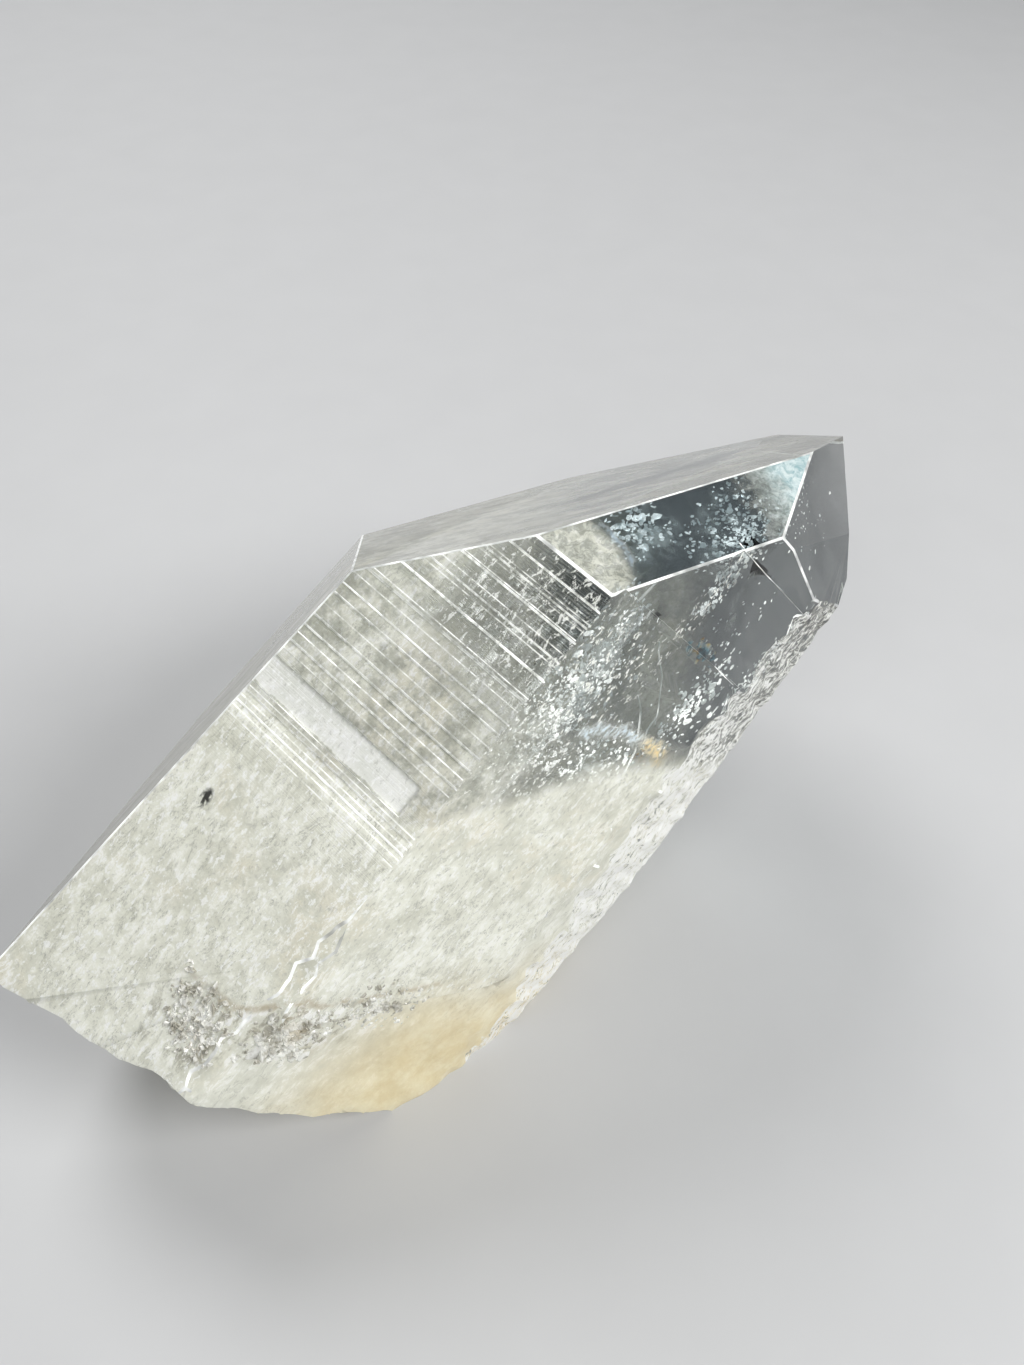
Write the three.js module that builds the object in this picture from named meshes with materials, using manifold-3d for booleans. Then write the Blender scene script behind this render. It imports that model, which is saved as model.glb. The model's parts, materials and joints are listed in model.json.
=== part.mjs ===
// A natural quartz point that rests, leaning, on its broken base. Millimetres, +Z up.
// The crystal is first shaped upright, with its long axis on Z, by cutting a block along each
// crystal face. It is then leaned over to the way it rests and ground level is cut.
import * as THREE from 'three';
import { mergeVertices } from 'three/addons/utils/BufferGeometryUtils.js';
import Module from 'manifold-3d';

const wasm = await Module();
wasm.setup();

// Driving dimensions of the upright crystal. A face is given by the compass angle that it looks
// to (azimuth), how far it looks up (lean), both in degrees, and its distance from the foot of
// the axis.
const RHOMB_LEAN = 38.2;
const FACES = {
  leftPrism: { azimuth: -1, lean: 4.3, distance: 27.3 },
  striatedPrism: { azimuth: 60, lean: 0, distance: 27.1 },
  rightPrism: { azimuth: 120, lean: 0, distance: 29.9 },
  lowerRightPrism: { azimuth: 180, lean: 0, distance: 43 },
  lowerRightTaper: { azimuth: 180, lean: 7, distance: 50.8 },
  undersidePrism: { azimuth: 240, lean: 0, distance: 37 },
  backPrism: { azimuth: 300, lean: 0, distance: 29.9 },
  topTip: { azimuth: 0, lean: RHOMB_LEAN, distance: 66.4 },
  windowTip: { azimuth: 60, lean: RHOMB_LEAN, distance: 81.7 },
  rightTip: { azimuth: 120, lean: RHOMB_LEAN, distance: 95.9 },
  lowerRightTip: { azimuth: 180, lean: RHOMB_LEAN, distance: 103.7 },
  undersideTip: { azimuth: 240, lean: RHOMB_LEAN, distance: 110 },
  backTip: { azimuth: 300, lean: RHOMB_LEAN, distance: 91.9 },
  cornerFacet: { azimuth: 127, lean: 29.3, distance: 83.9 },
};

// The block that the crystal is cut from, and the size of a cutter, larger than any cut.
const BLOCK_WIDTH = 130;
const BLOCK_HEIGHT = 200;
const BLOCK_BELOW_FOOT = 40;
const REACH = 400;
const CUTTER_CLEARANCE = 2;
const ROUGH_CUTTER_THICKNESS = 60;

// How the crystal rests: its axis leans from upright towards a heading, and it is spun on it.
const AXIS_LEAN = 54.7;
const AXIS_HEADING = 40.1;
const AXIS_SPIN = 134.5;
const GROUND_BELOW_FOOT = 2;

// Growth ledges across the striated face: heights up the axis and depths.
const LEDGE_RAMP = 1.3;
const LEDGES = [
  { height: 95.2, depth: 0.3 },
  { height: 92.8, depth: 0.25 },
  { height: 90.6, depth: 0.3 },
  { height: 87.6, depth: 0.25 },
  { height: 84.8, depth: 0.3 },
  { height: 81.5, depth: 0.4 },
  { height: 78.1, depth: 0.3 },
  { height: 76.4, depth: 0.25 },
  { height: 72.6, depth: 0.3 },
  { height: 70.8, depth: 0.4 },
  { height: 68.1, depth: 0.3 },
  { height: 59.4, depth: 0.25 },
  { height: 57.6, depth: 0.25 },
];

// The wide pale ledge below them, which stops short of the right edge.
const BAND = { top: 65.4, bottom: 60.7, depth: 0.4, left: -16, right: 15.5 };

// Growth ledges across the right face, fainter.
const RIGHT_LEDGES = [
  { height: 112.4, depth: 0.25 },
  { height: 99.2, depth: 0.3 },
];

// Broken surfaces. Each is a cutter with one rough side: a width and height on that side, the
// size of its facets, and a relief, in which more is deeper into the crystal.
const BREAK_GRAIN = 2.4;
const EDGE_GRAIN = 2;
const BASE_BREAK = { azimuth: 134.5, lean: -72.5, distance: -7.6, width: 150, height: 130 };
const BASE_LUMPS = [
  { x: -4, y: 31, rise: 2.9, spread: 12 },
  { x: -23.5, y: 22, rise: -1.9, spread: 5 },
  { x: 17, y: 36, rise: 0.8, spread: 5 },
];
const BACK_BREAK = { azimuth: -34.8, lean: -28.8, distance: 7.9, width: 110, height: 110 };
const SCAR = { azimuth: 122, lean: -3.2, distance: 27.8, width: 110, height: 80 };
const SCAR_CENTRE = { across: 0, up: 37 };
const SCAR_TWIST = 27;
const SCAR_LEDGE = 0.7;
const SCAR_HOLLOW = { depth: 0.5, length: 34 };
const SCAR_RIBS = { size: 0.12, spacing: 6.5, x: 30, y: -4 };
const SCAR_WAVE = { size: 0.12, length: 14, heading: 70, phase: 0.2 };
const ABOVE_SCAR = -4;
const ROUGH_EDGE = { azimuth: 135, lean: 0, distance: 33.2, width: 40, height: 150 };
const ROUGH_EDGE_CENTRE = { across: 25, up: 62 };
const WORN_CORNER = { azimuth: 92, lean: -3, distance: 30.3, width: 16, height: 60 };
const WORN_CORNER_CENTRE = { across: -2, up: 20 };

// The relief of the broken surfaces, as waves: how high each is, its length, the heading that it
// runs to in degrees, and its phase. Where two waves cross, they share one size.
const HACKLY_SWELLS = [
  { size: 0.4, length: 37, heading: 20, phase: 0.4 },
  { size: 0.3, length: 21, heading: 115, phase: 1.9 },
];
const HACKLY_RIDGE = { size: 0.7, length: 34, heading: 150, phase: 0.8 };
const HACKLY_LUMPS = [
  { size: 0.35, length: 12.5, heading: 60, phase: 2.6 },
  { size: 1, length: 15.5, heading: 150, phase: 0.7 },
];
const HACKLY_GRAIN = [
  { size: 0.16, length: 6.7, heading: 95, phase: 5.1 },
  { size: 0.14, length: 5.3, heading: 10, phase: 3.3 },
];
const CHIP_BITES = [
  { size: 0.3, length: 9.5, heading: 80, phase: 0.5 },
  { size: 1, length: 13, heading: 35, phase: 2.2 },
];
const CHIP_GRAIN = { size: 0.2, length: 4.6, heading: 100, phase: 1.1 };

const degrees = THREE.MathUtils.degToRad;

// A closed geometry becomes a solid once its shared corners are one vertex.
function solidOf(geometry) {
  const bare = geometry.index ? geometry.toNonIndexed() : geometry.clone();
  bare.deleteAttribute('normal');
  bare.deleteAttribute('uv');
  const merged = mergeVertices(bare, 1e-4);
  return new wasm.Manifold(new wasm.Mesh({
    numProp: 3,
    vertProperties: new Float32Array(merged.attributes.position.array),
    triVerts: new Uint32Array(merged.index.array),
  }));
}

function geometryOf(solid) {
  const mesh = solid.getMesh();
  const geometry = new THREE.BufferGeometry();
  geometry.setAttribute('position', new THREE.BufferAttribute(mesh.vertProperties, 3));
  geometry.setIndex(new THREE.BufferAttribute(mesh.triVerts, 1));
  return geometry;
}

// A face's own frame: X runs level along the face, Y runs up it, and Z looks out of it.
function faceFrame({ azimuth, lean, distance }) {
  const turn = degrees(azimuth);
  const tilt = degrees(lean);
  const outward = new THREE.Vector3(
    Math.cos(turn) * Math.cos(tilt),
    Math.sin(turn) * Math.cos(tilt),
    Math.sin(tilt),
  );
  const along = new THREE.Vector3(-Math.sin(turn), Math.cos(turn), 0);
  const upward = new THREE.Vector3().crossVectors(outward, along);
  const frame = new THREE.Matrix4().makeBasis(along, upward, outward);
  return frame.setPosition(outward.multiplyScalar(distance));
}

// All that lies beyond a face.
function beyondFace(face) {
  const block = new THREE.BoxGeometry(REACH, REACH, REACH);
  block.translate(0, 0, REACH / 2);
  return solidOf(block.applyMatrix4(faceFrame(face)));
}

// A long shallow notch across a face: it runs in along a ramp and comes out at a small ledge.
function ledgeCut(face, { height, depth }) {
  const clear = CUTTER_CLEARANCE;
  const notch = new THREE.Shape();
  notch.moveTo(height, clear);
  notch.lineTo(height, -depth);
  notch.lineTo(height - LEDGE_RAMP, 0);
  notch.lineTo(height - LEDGE_RAMP - clear * LEDGE_RAMP / depth, clear);
  const cutter = new THREE.ExtrudeGeometry(notch, { depth: BLOCK_WIDTH, bevelEnabled: false });
  cutter.translate(0, 0, -BLOCK_WIDTH / 2);
  const turned = new THREE.Matrix4().makeBasis(
    new THREE.Vector3(0, 1, 0),
    new THREE.Vector3(0, 0, 1),
    new THREE.Vector3(1, 0, 0),
  );
  cutter.applyMatrix4(turned);
  return solidOf(cutter.applyMatrix4(faceFrame(face)));
}

// The wide ledge is a tray pressed into the face.
function bandCut(face, { top, bottom, depth, left, right }) {
  const clear = CUTTER_CLEARANCE;
  const tray = new THREE.BoxGeometry(right - left, top - bottom, depth + clear);
  tray.translate((left + right) / 2, (top + bottom) / 2, (clear - depth) / 2);
  return solidOf(tray.applyMatrix4(faceFrame(face)));
}

// One wave of a relief, with its crests across a heading.
function wave(x, y, { size, length, heading, phase }) {
  const run = x * Math.cos(degrees(heading)) + y * Math.sin(degrees(heading));
  return size * Math.sin(2 * Math.PI * run / length + phase);
}

function sumOf(waves, x, y) {
  return waves.reduce((total, one) => total + wave(x, y, one), 0);
}

function crossed([first, second], x, y) {
  return wave(x, y, first) * wave(x, y, second);
}

function hackly(x, y) {
  const ridges = Math.abs(wave(x, y, HACKLY_RIDGE)) - HACKLY_RIDGE.size / 2;
  return sumOf(HACKLY_SWELLS, x, y) + ridges + crossed(HACKLY_LUMPS, x, y)
    + sumOf(HACKLY_GRAIN, x, y);
}

// The base break is hackly too, and swells out or dips where its edge does.
function baseRelief(x, y) {
  let relief = hackly(x, y);
  for (const lump of BASE_LUMPS) {
    const away = Math.hypot(x - lump.x, y - lump.y) / lump.spread;
    relief -= lump.rise * Math.exp(-away * away);
  }
  return relief;
}

// The scar is smooth below a ledge, and hollowed like the inside of a shell. Above the ledge the
// cutter stays clear of the crystal.
function shellLike(x, y) {
  if (y > 0) {
    return ABOVE_SCAR;
  }
  const down = Math.min(-y / SCAR_HOLLOW.length, 1);
  const hollow = SCAR_HOLLOW.depth * Math.sin(Math.PI * down);
  const fromRibs = Math.hypot(x - SCAR_RIBS.x, y - SCAR_RIBS.y);
  const ribs = SCAR_RIBS.size * Math.sin(fromRibs * 2 * Math.PI / SCAR_RIBS.spacing);
  return SCAR_LEDGE + hollow + ribs + wave(x, y, SCAR_WAVE);
}

function chipped(x, y) {
  return crossed(CHIP_BITES, x, y) + wave(x, y, CHIP_GRAIN);
}

// A cutter whose inner side carries a relief. It stands beyond its face.
function roughCutter(face, relief, grain, { across = 0, up = 0 } = {}, twist = 0) {
  const thickness = ROUGH_CUTTER_THICKNESS;
  const columns = Math.round(face.width / grain);
  const rows = Math.round(face.height / grain);
  const block = new THREE.BoxGeometry(face.width, face.height, thickness, columns, rows, 1);
  block.translate(0, 0, thickness / 2);
  const place = block.attributes.position;
  for (let i = 0; i < place.count; i += 1) {
    if (place.getZ(i) < thickness / 2) {
      place.setZ(i, -relief(place.getX(i), place.getY(i)));
    }
  }
  block.rotateZ(degrees(twist));
  block.translate(across, up, 0);
  return solidOf(block.applyMatrix4(faceFrame(face)));
}

function uprightCrystal() {
  let crystal = solidOf(new THREE.BoxGeometry(BLOCK_WIDTH, BLOCK_WIDTH, BLOCK_HEIGHT)
    .translate(0, 0, BLOCK_HEIGHT / 2 - BLOCK_BELOW_FOOT));
  for (const face of Object.values(FACES)) {
    crystal = crystal.subtract(beyondFace(face));
  }
  return crystal;
}

function cutLedges(crystal) {
  let result = crystal;
  for (const ledge of LEDGES) {
    result = result.subtract(ledgeCut(FACES.striatedPrism, ledge));
  }
  for (const ledge of RIGHT_LEDGES) {
    result = result.subtract(ledgeCut(FACES.rightPrism, ledge));
  }
  return result.subtract(bandCut(FACES.striatedPrism, BAND));
}

function breakSurfaces(crystal) {
  const roughEdge = roughCutter(ROUGH_EDGE, chipped, EDGE_GRAIN, ROUGH_EDGE_CENTRE);
  const wornCorner = roughCutter(WORN_CORNER, chipped, EDGE_GRAIN, WORN_CORNER_CENTRE);
  const scar = roughCutter(SCAR, shellLike, EDGE_GRAIN, SCAR_CENTRE, SCAR_TWIST);
  const back = roughCutter(BACK_BREAK, hackly, BREAK_GRAIN);
  const base = roughCutter(BASE_BREAK, baseRelief, BREAK_GRAIN);
  return crystal.subtract(roughEdge).subtract(wornCorner).subtract(scar)
    .subtract(back).subtract(base);
}

function restingTurn() {
  const spin = new THREE.Matrix4().makeRotationZ(degrees(AXIS_SPIN));
  const lean = new THREE.Matrix4().makeRotationY(degrees(AXIS_LEAN));
  const heading = new THREE.Matrix4().makeRotationZ(degrees(AXIS_HEADING));
  return heading.multiply(lean).multiply(spin);
}

// The lowest part of the break is the level patch that the crystal rests on.
function belowGround() {
  const ground = new THREE.BoxGeometry(REACH, REACH, REACH);
  return solidOf(ground.translate(0, 0, -REACH / 2 - GROUND_BELOW_FOOT));
}

function restingCrystal() {
  const upright = breakSurfaces(cutLedges(uprightCrystal()));
  const leaned = solidOf(geometryOf(upright).applyMatrix4(restingTurn()));
  const geometry = geometryOf(leaned.subtract(belowGround()));
  geometry.computeBoundingBox();
  const centre = geometry.boundingBox.getCenter(new THREE.Vector3());
  geometry.translate(-centre.x, -centre.y, -geometry.boundingBox.min.z);
  const crisp = geometry.toNonIndexed();
  crisp.computeVertexNormals();
  return crisp;
}

const quartz = new THREE.MeshStandardMaterial({
  name: 'milky clear quartz',
  color: 0xdfe2da,
  roughness: 0.12,
  metalness: 0,
  transparent: true,
  opacity: 0.8,
  flatShading: true,
});

const point = new THREE.Mesh(restingCrystal(), quartz);
point.name = 'quartz_point';

const specimen = new THREE.Group();
specimen.name = 'specimen';
specimen.add(point);

export default specimen;
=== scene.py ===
"""A natural quartz point, milky at its broken base and clear at its tip, in metres."""

import json
import math
import random

import bpy
from mathutils import Euler, Matrix, Vector
from mathutils.bvhtree import BVHTree

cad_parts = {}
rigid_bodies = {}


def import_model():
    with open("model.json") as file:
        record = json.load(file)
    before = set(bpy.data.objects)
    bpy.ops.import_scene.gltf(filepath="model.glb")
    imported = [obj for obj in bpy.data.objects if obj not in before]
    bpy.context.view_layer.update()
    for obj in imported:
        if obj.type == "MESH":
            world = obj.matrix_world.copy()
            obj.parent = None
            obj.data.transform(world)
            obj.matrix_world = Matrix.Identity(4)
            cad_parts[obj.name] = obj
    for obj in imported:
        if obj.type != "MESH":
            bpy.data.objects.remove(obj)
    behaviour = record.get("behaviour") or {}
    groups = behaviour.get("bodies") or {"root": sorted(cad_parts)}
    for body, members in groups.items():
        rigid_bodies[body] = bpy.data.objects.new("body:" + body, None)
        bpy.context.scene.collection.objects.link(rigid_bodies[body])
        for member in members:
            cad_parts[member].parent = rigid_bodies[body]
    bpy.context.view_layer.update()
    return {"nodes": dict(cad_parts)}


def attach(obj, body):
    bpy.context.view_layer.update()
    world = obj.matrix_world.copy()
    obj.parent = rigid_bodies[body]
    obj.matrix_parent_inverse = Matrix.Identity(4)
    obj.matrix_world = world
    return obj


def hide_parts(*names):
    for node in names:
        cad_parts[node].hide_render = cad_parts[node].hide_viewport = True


MM = 0.001

# How the crystal rests, and where the foot of its long axis is. A place on the crystal is given
# by the face it is on, in millimetres across that face and up it, and how deep it lies.
AXIS_LEAN = 54.7
AXIS_HEADING = 40.1
AXIS_SPIN = 134.5
FOOT = Vector((-45.34, -34.58, 2.02))

# Each face's direction round the axis, how far it leans to the tip, and its distance.
RHOMB_LEAN = 38.2
FACES = {
    "left": (-1, 4.3, 27.3),
    "striated": (60, 0, 27.1),
    "right": (120, 0, 29.9),
    "lower_right": (180, 0, 43),
    "taper": (180, 7, 50.8),
    "underside": (240, 0, 37),
    "back": (300, 0, 29.9),
    "top": (0, RHOMB_LEAN, 66.4),
    "window": (60, RHOMB_LEAN, 81.7),
    "right_tip": (120, RHOMB_LEAN, 95.9),
    "lower_tip": (180, RHOMB_LEAN, 103.7),
    "under_tip": (240, RHOMB_LEAN, 110),
    "back_tip": (300, RHOMB_LEAN, 91.9),
    "corner": (127, 29.3, 83.9),
    "edge": (135, 0, 33.2),
    "scar": (122, -3.2, 27.8),
}
PALE_FACES = ["left", "top"]
CLEAR_FACES = [name for name in FACES if name not in ("edge", "scar", "left", "top")]

# Where the milk ends, in millimetres along the axis. It climbs to the right as a dense edge,
# and to the left as a thin haze.
MILK_LINE = 62.0
MILK_SIDE = 16.0
MILK_CLIMB = 1.35
HAZE_LINE = 84.0
HAZE_WIDTH = 26.0
HAZE_CLIMB = 1.1

# The height of the brown step above the rough patch, and how it climbs to the right.
STEP_START = 28.0
STEP_SIDE = 14.0
STEP_CLIMB = 0.9

# The band of frosted quartz across the striated face, and the middle of the small pit below it, whose shade
# is painted.
BAND_BOTTOM = 60.8
BAND_TOP = 65.2
BAND_LEFT = -11.5
BAND_RIGHT = 15.5
PIT_SIDE = -6.2
PIT_HEIGHT = 45.2

# The heights of the growth lines across the striated face, which get painted glowing highlights, and half
# their width.
GROWTH_LINES = [
    97.8, 95.0, 93.2, 92.1, 90.8, 88.6, 86.8, 84.8, 81.9, 81.2, 79.9, 78.0, 76.4, 74.4, 72.6,
    70.8, 69.4, 68.1, 66.7, 60.0, 59.2, 58.4, 57.6, 56.7, 55.6,
]
LINE_HALF = 0.05

# The heights of the growth ledges, whose feet get wider lines of painted glowing highlight over the
# shade that the ledges cast, how far under the ledge such a line runs, and half its width.
LEDGE_HEIGHTS = [95.2, 92.8, 90.6, 87.6, 84.8, 81.5, 78.1, 76.4, 72.6, 70.8, 68.1, 59.4, 57.6]
LEDGE_FOOT = 0.13
LEDGE_HALF = 0.11

# The blue and gold lip above the milk of the right face, where it is highest and how it falls
# away to the left.
LIP_HEIGHT = 85.2
LIP_SIDE = 4.0
LIP_FALL = 0.45

# The middle of the clear lens in the top face, and how it slants.
LENS_ACROSS = -4.5
LENS_UP = 96.0
LENS_SLANT = 0.45

# The middle of the rounded milky patch of the window face, where it starts to thin and where it
# ends, and the two heights between which the painted cyan-white reflection in its top corner begins.
PATCH_ACROSS = 11.6
PATCH_UP = 57.0
PATCH_THINS = 8.6
PATCH_ENDS = 10.9
REFLECTION_BEGINS = 83.5
REFLECTION_FULL = 93.5

# Clusters of small inner fractures: the face they lie under, the span across it and up it,
# the span of depth, how many there are and how long, all in millimetres.
FLAKE_CLUSTERS = [
    ("right", (-13, -1), (68, 101), (0.5, 6.0), 1300, 0.45),
    ("right", (-5, 15), (69, 87), (0.4, 3.5), 420, 0.5),
    ("right", (-1, 3), (98, 119), (0.5, 2.5), 150, 0.55),
    ("right", (3, 15), (86, 117), (1.0, 8.0), 70, 0.4),
    ("right", (9, 16), (84, 104), (0.5, 4.0), 220, 0.6),
    ("window", (9.5, 18), (66, 77), (0.6, 4.0), 190, 0.6),
    ("window", (16, 24), (72, 93), (0.6, 4.5), 200, 0.5),
    ("window", (21, 27), (75, 90), (0.5, 3.0), 240, 0.45),
    ("striated", (1, 19), (76, 98), (0.5, 6.0), 620, 0.42),
    ("striated", (-7, 4), (70, 94), (1.0, 7.0), 160, 0.6),
    ("right_tip", (2, 20), (74, 90), (0.6, 6.0), 70, 0.35),
    ("edge", (9, 15), (86, 117), (0.6, 3.0), 200, 0.6),
]
DARK_SPECKS = [
    ("striated", (-3.0, 8.0), (71.0, 80.0), (1.5, 5.0), 110, 0.42),
    ("striated", (6, 19), (80, 97), (0.3, 2.5), 260, 0.34),
]

# Curved cracks: the face they lie under, their points across and up it, how deep they start
# and how deep they reach.
CRACKS = [
    ("right", [(-2, 97), (0, 95.4), (2.6, 94), (4.6, 92), (7.3, 89.3), (7.6, 87), (9.6, 84.6)], 0.3, 0.5),
    ("right", [(1.5, 90), (4.0, 88.6), (6.2, 86.4), (8.4, 84.0), (10.4, 79)], 0.3, 0.7),
    ("right", [(-6, 82), (-3.6, 81.9), (1, 84.6), (4.7, 85.7)], 0.3, 0.4),
    ("right", [(-12, 52), (-6, 50.6), (0, 54), (6, 53)], 0.4, 0.6),
    ("right", [(10, 99.2), (13, 99.0), (15.8, 98.9)], 0.15, 0.5),
    ("right", [(-2, 112.6), (6, 112.3), (11, 112.5)], 0.15, 0.25),
]

# Cloudy sheets inside the crystal: the face they lie under, their middle across it and up it,
# how deep, their width and length, their tilts in degrees, and the size of their waves.
VEILS = [
    ("striated", -4, 82, 5.0, 13, 28, (10, 6, 35), 12),
    ("striated", 4, 74, 9.0, 18, 24, (24, -8, -30), 9),
    ("right", -6, 86, 4.5, 11, 34, (8, 0, 4), 10),
    ("right", 4, 80, 3.6, 20, 12, (16, 14, 10), 6),
    ("window", 15, 74, 5.0, 12, 16, (14, 8, -20), 7),
    ("window", 20, 84, 5.0, 9, 22, (30, 4, 14), 8),
    ("right", 8, 108, 6.0, 8, 18, (50, 0, 20), 7),
]
VEIL_ROOM = 0.5 * MM

# Small coloured fractures, placed as the flakes are.
RAINBOW_CLUSTERS = [
    ("right", (3.6, 10.6), (98.0, 101.0), (0.6, 2.6), 60, 1.2),
    ("right", (9.0, 15.0), (81.5, 85.5), (0.6, 2.4), 34, 1.1),
    ("striated", (11.0, 18.0), (60.0, 66.0), (0.5, 2.0), 36, 1.1),
]

# Shards of the rough patch: the face they lie on, the span across it and up it, how many there
# are and how long.
SHARD_CLUSTERS = [
    ("striated", (6.0, 17.0), (18.0, 29.0), 190, 1.1),
    ("right", (-15.0, -2.0), (22.0, 34.0), 330, 1.15),
    ("right", (-6.0, 9.0), (30.0, 42.0), 150, 0.9),
]

# How much light the clear quartz lets through: in general, in its dark places, at the right of
# the striated face, at the window, and on its way from a lamp. The quartz is colourless: all but
# the last are grey tints of painted shade.
QUARTZ_IOR = 1.544
CLEAR_SHADE_TINT = (0.36, 0.38, 0.38, 1.0)
DARK_SHADE_TINT = (0.13, 0.145, 0.15, 1.0)
DEEP_SHADE_TINT = (0.035, 0.04, 0.04, 1.0)
WINDOW_SHADE_TINT = (0.12, 0.155, 0.175, 1.0)
LAMP_TINT = (0.42, 0.44, 0.44, 1.0)

# The white of painted glints and of the veils' wisps, and the pale yellow white of the inner fractures and
# their painted glow.
SILVER_WHITE = (0.97, 0.98, 0.95, 1.0)
FLECK_WHITE = (1.0, 1.0, 0.97, 1.0)

# The width of the bevel along an edge, which glows as a painted highlight, the turns between which an
# edge has one, and how near two corners are to be one.
RIM_WIDTH = 0.22 * MM
RIM_LEAST_TURN = 24
RIM_MOST_TURN = 72
DOUBLES = 0.02 * MM
BEVEL_DOUBLES = 0.004 * MM

# The relief of the broken faces and of the worn edge: how often they are cut, how deep the
# relief is and how large its grain.
BROKEN_RELIEF = (3, 1.1 * MM, 1.6 * MM)
WORN_RELIEF = (3, 0.7 * MM, 1.2 * MM)

# The camera of the photograph: how far it looks down, its lens and where it stands.
CAMERA_DOWN = 50.0
CAMERA_LENS = 27.06
CAMERA_PLACE = Vector((10.48, -95.15, 161.14))

# The lamps: their names, places, widths and powers, and where they all point, in metres.
LAMPS = [
    ("key", (-0.30, 0.55, 0.80), 0.5, 5.6),
    ("fill", (0.65, -0.25, 0.60), 0.4, 6.4),
    ("front", (-0.30, -0.65, 0.70), 0.5, 2.8),
]
LAMP_AIM = (0, 0, 0.03)
FLOOR_SIZE = 14.0


def resting_turn():
    """How the upright crystal is turned to rest on its base."""
    spin = Matrix.Rotation(math.radians(AXIS_SPIN), 3, "Z")
    lean = Matrix.Rotation(math.radians(AXIS_LEAN), 3, "Y")
    heading = Matrix.Rotation(math.radians(AXIS_HEADING), 3, "Z")
    return heading @ lean @ spin


TURN = resting_turn()
AXIS = TURN @ Vector((0, 0, 1))


def face_axes(name):
    """Directions across, up and out of a face, in the object's frame."""
    azimuth, lean, _ = FACES[name]
    turn = math.radians(azimuth)
    tilt = math.radians(lean)
    out = Vector((math.cos(turn) * math.cos(tilt), math.sin(turn) * math.cos(tilt), math.sin(tilt)))
    across = Vector((-math.sin(turn), math.cos(turn), 0))
    up = out.cross(across)
    return TURN @ across, TURN @ up, TURN @ out


def on_face(name, across, up, depth=0.0):
    """A place in metres, from millimetres across and up a face, and under it."""
    x, y, z = face_axes(name)
    distance = FACES[name][2] - depth
    return (FOOT + x * across + y * up + z * distance) * MM


class Value:
    """A number in a material, which adds a Math node for each operator."""

    def __init__(self, material, socket):
        self.material = material
        self.socket = socket

    def math(self, operation, *others):
        inputs = {0: self}
        inputs.update(enumerate(others, start=1))
        return self.material.node("ShaderNodeMath", {"operation": operation}, inputs)

    def __add__(self, other):
        return self.math("ADD", other)

    __radd__ = __add__

    def __mul__(self, other):
        return self.math("MULTIPLY", other)

    __rmul__ = __mul__

    def __sub__(self, other):
        return self.math("SUBTRACT", other)

    def __rsub__(self, other):
        return self.material.node("ShaderNodeMath", {"operation": "SUBTRACT"}, {0: other, 1: self})

    def largest(self, other):
        return self.math("MAXIMUM", other)

    def smallest(self, other):
        return self.math("MINIMUM", other)

    def size(self):
        return self.math("ABSOLUTE")

    def from_middle(self, other):
        """How far the place that two numbers give is from nought."""
        return (self * self + other * other).math("SQRT")

    def step(self, low, high):
        """0 below low and 1 above high, and smooth between them."""
        inputs = {"Value": self, "From Min": low, "From Max": high}
        settings = {"interpolation_type": "SMOOTHSTEP"}
        return self.material.node("ShaderNodeMapRange", settings, inputs)

    def near(self, centre, reach):
        """1 at centre, falling smoothly to 0 at reach from it."""
        return 1 - (self - centre).size().step(0.0, reach)

    def band(self, low, high, soft):
        """1 between low and high, with soft ends."""
        return self.step(low - soft, low + soft) * (1 - self.step(high - soft, high + soft))


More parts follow.
